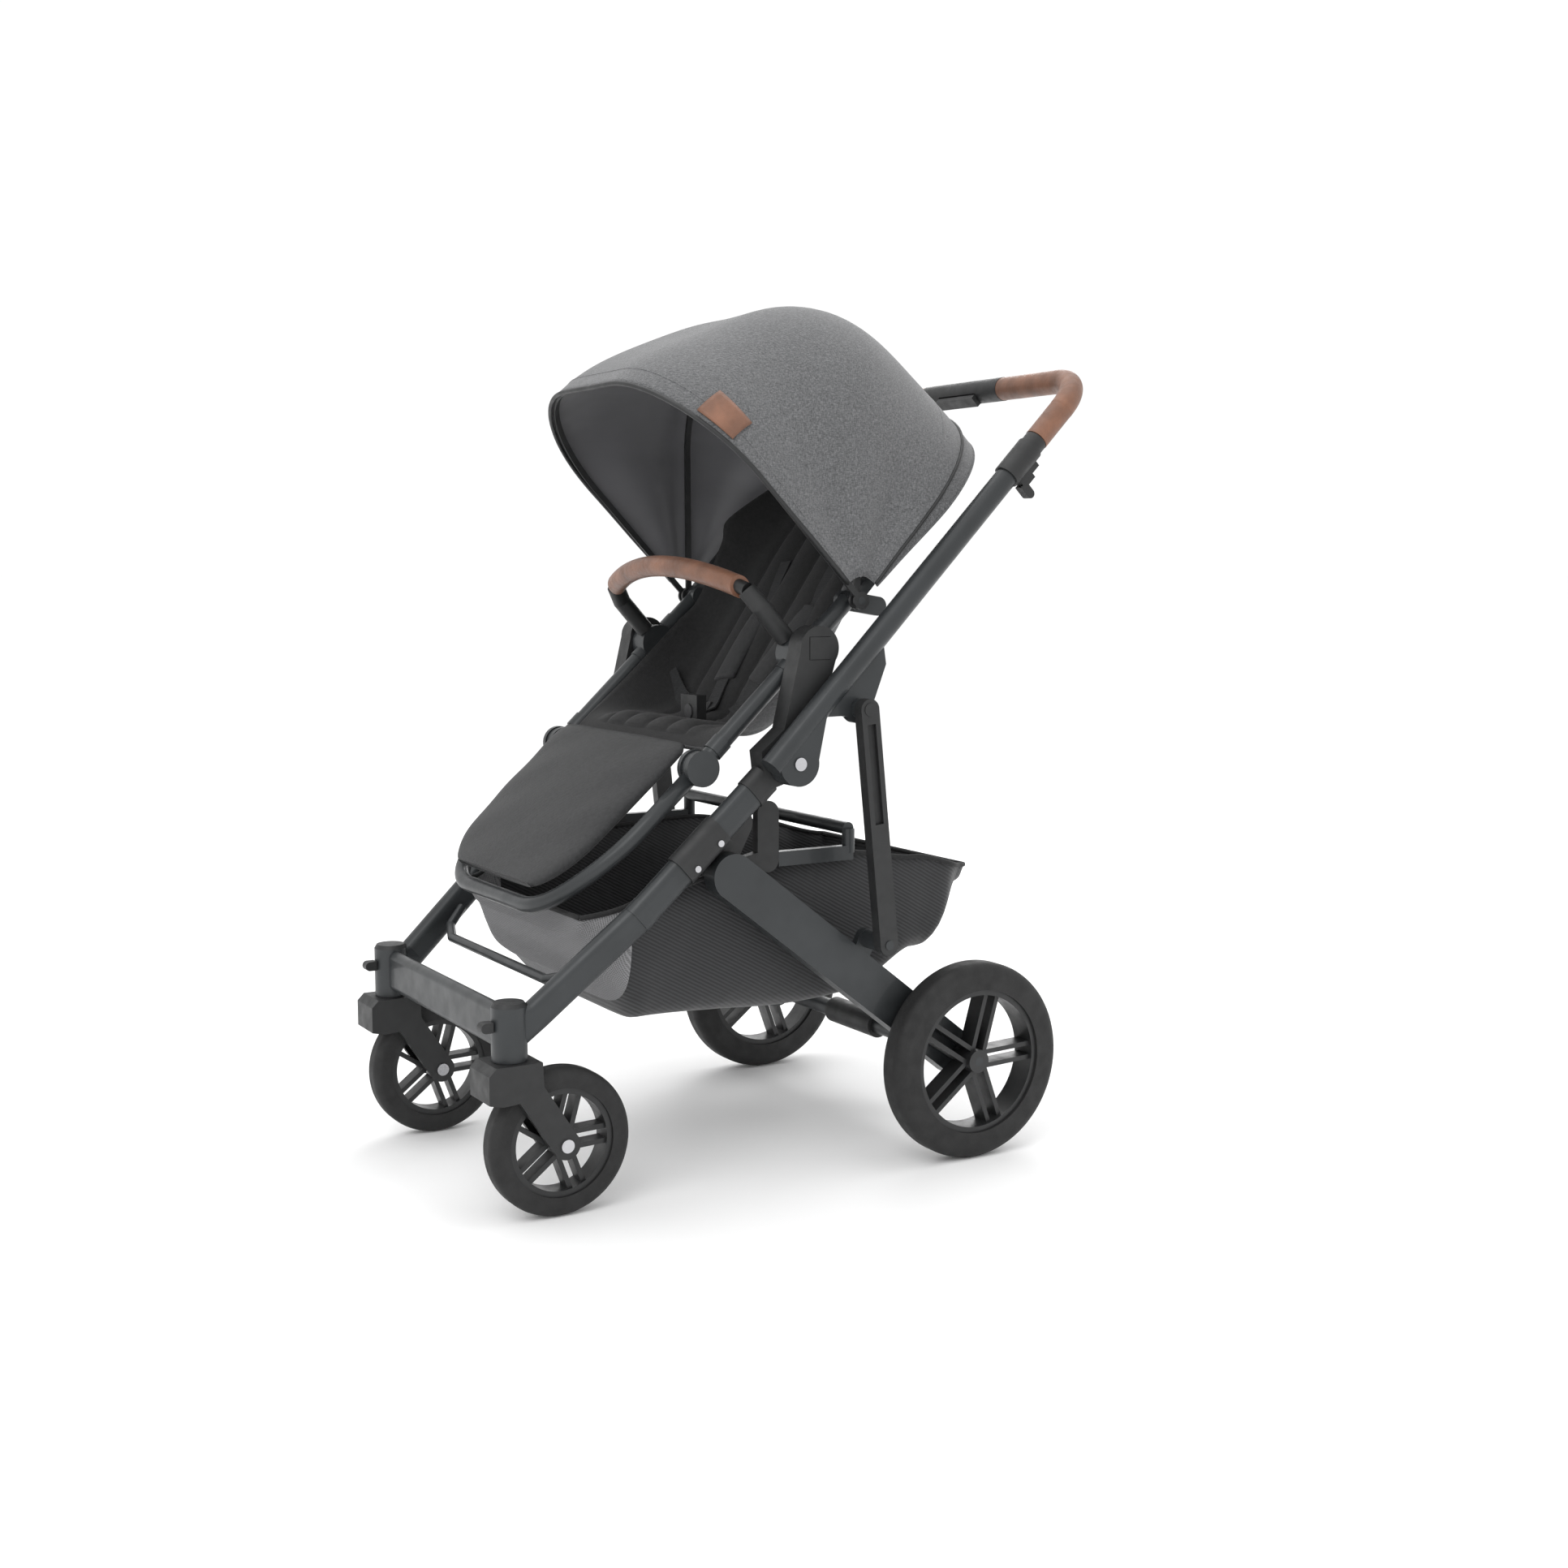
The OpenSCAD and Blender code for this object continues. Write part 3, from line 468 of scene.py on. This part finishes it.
def liner_point(t, x, lift=0.0):
    """The liner's surface at a share t of its length and a sideways share x from -1 to 1."""
    p = spline(MIDDLE, t).lerp(spline(SIDES, t), abs(x) ** 5)
    ahead = spline(MIDDLE, min(t + 0.01, 1)) - spline(MIDDLE, max(t - 0.01, 0))
    n = Vector((0, -ahead.z, ahead.y)).normalized()
    flat = ease((0.8 - abs(x)) / 0.3)
    quilt = abs(math.sin(x * math.pi * 3.5)) ** 0.6 if 0.08 < t < 0.97 else 0
    puff = 0.010 * quilt * flat * ease(t / 0.15) * ease((1 - t) / 0.08)
    narrow = 1 - 0.14 * ease((t - 0.85) / 0.15)
    p = p + n * (puff + lift)
    p.x = edge_x * narrow * math.copysign(abs(x) ** 0.9, x)
    return p


v, f = grid(lambda t, b: liner_point(t, 2 * b - 1), 96, 80)
liner = piece("seat_liner", v, f, "seat", "dark_fabric", ["heather", "dark_fabric"], 0.009)
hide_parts("seat_cushion", "backrest")


def strap(path, width, thick=0.0022):
    """A flat strap through (t, x) places on the liner."""
    pts = [liner_point(t, x, 0.0075) for t, x in path]
    verts, faces = [], []
    for i, p in enumerate(pts):
        t = (pts[min(i + 1, len(pts) - 1)] - pts[max(i - 1, 0)]).normalized()
        side = t.cross(Vector((0, -0.85, 0.53))).normalized() * width / 2
        up = t.cross(side).normalized() * thick / 2
        verts += [p - side - up, p + side - up, p + side + up, p - side + up]
    for i in range(len(pts) - 1):
        for k in range(4):
            m = (k + 1) % 4
            faces.append((i * 4 + k, i * 4 + m, i * 4 + 4 + m, i * 4 + 4 + k))
    e = (len(pts) - 1) * 4
    return verts, faces + [(3, 2, 1, 0), (e, e + 1, e + 2, e + 3)]


def lerp_path(a, b, n=24):
    return [(a[0] + (b[0] - a[0]) * i / n, a[1] + (b[1] - a[1]) * i / n) for i in range(n + 1)]


shoulder = [strap(lerp_path((0.84, s * 0.32), (0.42, s * 0.14)), 0.026) for s in (-1, 1)]
waist = [strap(lerp_path((0.46, s * 0.86), (0.42, s * 0.16)), 0.026) for s in (-1, 1)]
crotch = [strap(lerp_path((0.26, 0), (0.40, 0)), 0.03)]
straps = shoulder + waist + crotch
harness = piece("harness", *join(*straps), "seat", "dark_fabric", ["webbing"], smooth=False)
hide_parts("harness_straps")
pads = [strap(lerp_path((0.76, s * 0.29), (0.56, s * 0.2)), 0.052, 0.012) for s in (-1, 1)]
shoulder_pads = piece("shoulder_pads", *join(*pads), "seat", "dark_fabric", ["pad_fabric"], sub=2)


# ---- Footrest: a crowned pad on a bent tube ----
pad_lo, pad_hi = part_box("footrest_pad")
foot_slope = math.radians(222)
along_leg = Vector((0, math.cos(foot_slope), math.sin(foot_slope)))
off_leg = Vector((0, math.sin(foot_slope), -math.cos(foot_slope)))
pad_start = -0.015
pad_len = 0.245
pad_base = 0.0108
pad_thick = 0.020


def pad_point(t, b):
    """Closed pad: t runs down the leg, b goes round the section."""
    low = min(max((t - 0.66) / 0.34, 0), 1)
    half = 0.176 - 0.012 * t - 0.062 * (1 - math.sqrt(1 - (low * 0.985) ** 2))
    half -= 0.01 * (1 - ease(t / 0.05))
    ang = 2 * math.pi * b
    c, s = math.cos(ang), math.sin(ang)
    x = half * math.copysign(abs(c) ** 0.35, c)
    h = pad_thick * (0.32 + 0.68 * math.sin(math.pi * min(max(t, 0.02), 0.98)) ** 0.35)
    y = h / 2 * math.copysign(abs(s) ** 0.6, s)
    if s > 0:
        crowning = 0.006 * (1 - (x / half) ** 2) * math.sin(math.pi * t)
        y += crowning + 0.0007 * math.sin(40 * x + 17 * t)
    above = pad_base + pad_thick / 2 + y
    return knee + along_leg * (pad_start + pad_len * t) + off_leg * above + Vector((x, 0, 0))


def bent(corners, radius, steps=10):
    """Points along a path whose corners are rounded."""
    out = [corners[0]]
    for a, c, b in zip(corners, corners[1:], corners[2:]):
        start = c + (a - c).normalized() * radius
        end = c + (b - c).normalized() * radius
        for i in range(steps + 1):
            w = i / steps
            out.append(start.lerp(c, w).lerp(c.lerp(end, w), w))
    return out + [corners[-1]]


def leg_place(x, s):
    return Vector((x, knee.y, knee.z)) + along_leg * s


rail_r = 0.0101
eye_r = 0.0205
eye_half_w = 0.006
rail_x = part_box("footrest_tube")[1].x - rail_r
corners = [leg_place(rail_x, 0.006), leg_place(rail_x, 0.150), leg_place(rail_x - 0.062, 0.246)]
corners += [Vector((-p.x, p.y, p.z)) for p in reversed(corners)]
foot_parts = [tube(bent(corners, 0.052), rail_r, 24)]
for s in (-1, 1):
    eye = [leg_place(s * (rail_x - eye_half_w), 0), leg_place(s * (rail_x + eye_half_w), 0)]
    foot_parts.append(tube(eye, eye_r, 40))
foot_tube = piece("footrest_rail", *join(*foot_parts), "footrest", "frame", ["frame"])
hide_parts("footrest_tube")

PAD_LONG = 60
PAD_ROUND = 96
v, f = grid(pad_point, PAD_LONG, PAD_ROUND, wrap=True)
f += [tuple(range(PAD_ROUND - 1, -1, -1)), tuple(PAD_LONG * PAD_ROUND + k for k in range(PAD_ROUND))]
pad = piece("footrest_cushion", v, f, "footrest", "dark_fabric", ["pad_fabric"])
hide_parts("footrest_pad")

# ---- Basket: a sagging fabric tub with a pale mesh front ----
b_lo, b_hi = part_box("basket")
basket_half = b_hi.x - 0.001
by = b_lo.y
# Heights of the basket's rim and of its floor along Y
RIM = [
    (by, 0.343),
    (by + 0.1, 0.372),
    (by + 0.2, 0.392),
    (by + 0.35, 0.398),
    (by + 0.46, 0.384),
    (b_hi.y, 0.362),
]
FLOOR = [
    (by, 0.318),
    (by + 0.03, 0.255),
    (by + 0.085, 0.207),
    (by + 0.2, 0.196),
    (by + 0.38, 0.199),
    (by + 0.5, 0.25),
    (b_hi.y, 0.335),
]
MESH_SHARE = 0.1


def level(points, y):
    """The height at y, by eased steps between points."""
    for (y0, z0), (y1, z1) in zip(points, points[1:]):
        if y <= y1 + 1e-6:
            return z0 + (z1 - z0) * ease((y - y0) / (y1 - y0))
    return points[-1][1]


def basket_point(a, b):
    y = by + (b_hi.y - by) * a
    top, low = level(RIM, y), level(FLOOR, y)
    ends = ease(a / 0.1) * ease((1 - a) / 0.08)
    half = basket_half * (0.86 + 0.14 * ends)
    ang = math.pi * b
    c, s = math.cos(ang), math.sin(ang)
    x = half * math.copysign(abs(c) ** 0.32, c)
    z = top - (top - low) * abs(s) ** 0.5
    belly = math.sin(math.pi * min(max((top - z) / max(top - low, 0.01), 0), 1))
    x *= 1 - 0.035 * belly * (1 + 0.5 * math.sin(19 * a + 3 * math.copysign(1, c)))
    z += 0.004 * math.sin(14 * a + 8 * b) * abs(s)
    return Vector((x, y, z))


NU = 90
NV = 72
v, f = grid(basket_point, NU, NV)
is_mesh = [1 if i < NU * MESH_SHARE else 0 for i in range(NU) for j in range(NV)]
front = [tuple(range(NV + 1))]
back = [tuple(NU * (NV + 1) + k for k in range(NV, -1, -1))]
tub = piece(
    "basket_tub",
    v,
    f + front + back,
    "front_frame",
    "basket_fabric",
    ["basket_fabric", "mesh"],
    0.0015,
    is_mesh + [1, 0],
)
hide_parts("basket")
left_rim = [basket_point(i / 60, 0) + Vector((0, 0, 0.001)) for i in range(61)]
right_rim = [Vector((-p.x, p.y, p.z)) for p in left_rim]
across = [[left_rim[k].lerp(right_rim[k], i / 20) for i in range(21)] for k in (0, -1)]
binding = join(*(tube(p, 0.0032) for p in (left_rim, right_rim, *across)))
piece("basket_binding", *binding, "front_frame", "basket_fabric", ["dark_fabric"])


# ---- Pale stitching along the leather grips ----
def stitches(name, points, body, step=0.0052, length=0.0032, r=0.00055):
    parts, run = [], 0.0
    for a, b in zip(points, points[1:]):
        d = b - a
        while run < d.length:
            p = a + d.normalized() * run
            parts.append(tube([p, p + d.normalized() * length], r, 5))
            run += step
        run -= d.length
    return piece(name, *join(*parts), body, "leather", ["thread"], smooth=False)


handle_slope = math.radians(45.4)
bend_r = 0.055
arm_len = 0.110
seam_off = 0.0157
up_tube = Vector((0, math.cos(handle_slope), math.sin(handle_slope)))
under = Vector((0, math.sin(handle_slope), -math.cos(handle_slope)))
cover_lo, cover_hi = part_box("grip_centre_cover")
bar = (cover_lo + cover_hi) / 2
arm_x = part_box("grip_left")[1].x - 0.0155
for side, s in (("left", 1), ("right", -1)):
    pts = []
    for i in range(25):
        pts.append(bar - up_tube * arm_len + up_tube * (bend_r * i / 24) + Vector((arm_x, 0, 0)))
    for i in range(1, 31):
        a = math.pi / 2 * i / 30
        inward = Vector((arm_x - bend_r * (1 - math.cos(a)), 0, 0))
        pts.append(bar + inward - up_tube * (bend_r * (1 - math.sin(a))))
    pts.append(bar + Vector((cover_hi.x + 0.004, 0, 0)))
    pts = [p + under * seam_off for p in pts]
    stitches("grip_stitching_" + side, [Vector((p.x * s, p.y, p.z)) for p in pts], "grip_bar")

bump_lo, bump_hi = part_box("bumper_grip")

# ---- Floor, light ----
FLOOR_HALF = 150
around = ((-1, -1), (1, -1), (1, 1), (-1, 1))
floor_corners = [(x * FLOOR_HALF, y * FLOOR_HALF, -0.0005) for x, y in around]
floor = bpy.data.objects.new("floor", bpy.data.meshes.new("floor"))
floor.data.from_pydata(floor_corners, [], [(0, 1, 2, 3)])
bpy.context.scene.collection.objects.link(floor)
paper = Shader("studio_floor", (0.985, 0.985, 0.985), 0.95)
floor.data.materials.append(paper.mat)
world = bpy.data.worlds.new("studio")
bpy.context.scene.world = world
world.use_nodes = True
world.node_tree.nodes["Background"].inputs["Color"].default_value = (1, 1, 1, 1)
world.node_tree.nodes["Background"].inputs["Strength"].default_value = 1.03


def lamp(name, where, size, power, aim=(0, 0, 0.5)):
    l = bpy.data.objects.new(name, bpy.data.lights.new(name, "AREA"))
    l.data.size = size
    l.data.energy = power
    l.location = where
    l.rotation_euler = (Vector(aim) - Vector(where)).to_track_quat("-Z", "Y").to_euler()
    bpy.context.scene.collection.objects.link(l)


lamp("key", (1.8, -2.4, 3.2), 2.2, 38)
lamp("top", (-0.4, 0.6, 3.4), 2.6, 30)
lamp("rim", (-2.6, 2.2, 2.0), 1.6, 30)
